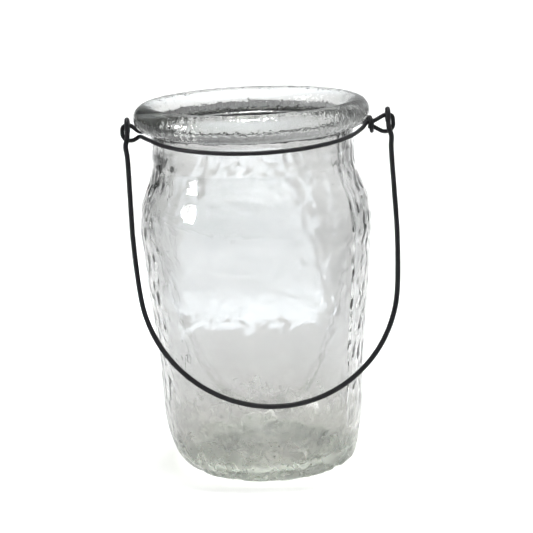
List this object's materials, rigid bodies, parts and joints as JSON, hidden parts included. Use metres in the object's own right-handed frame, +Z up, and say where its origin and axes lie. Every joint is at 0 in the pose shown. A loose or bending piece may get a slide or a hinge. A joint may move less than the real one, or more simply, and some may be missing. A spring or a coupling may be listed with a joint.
{
  "type": "mason jar lantern",
  "caption": "Clear hammered-glass jar with a rolled rim, a black wire round its neck and a wire bail that swings from a loop on each side",
  "frame": {"origin": "middle of the jar's flat base, on the jar's axis", "axes": "+Z up along the jar's axis, the bail's pivot axis along X, the bail at rest on the -Y side"},
  "size_m": [0.1032, 0.0884, 0.14],
  "materials": {
    "glass": "clear pressed glass with a hammered outside",
    "neck_wire": "semi-gloss black coating on steel wire",
    "bail_wire": "semi-gloss black coating on steel wire"
  },
  "bodies": {
    "jar": {"glass_jar": "glass", "neck_wire": "neck_wire"},
    "bail": {"bail_handle": "bail_wire"}
  },
  "joints": [
    {"name": "bail_swing", "type": "hinge", "parent": "jar", "child": "bail", "pos_m": [0.0022, 0, 0.1322], "axis": [-1, 0, 0], "range_deg": [0, 312]}
  ]
}
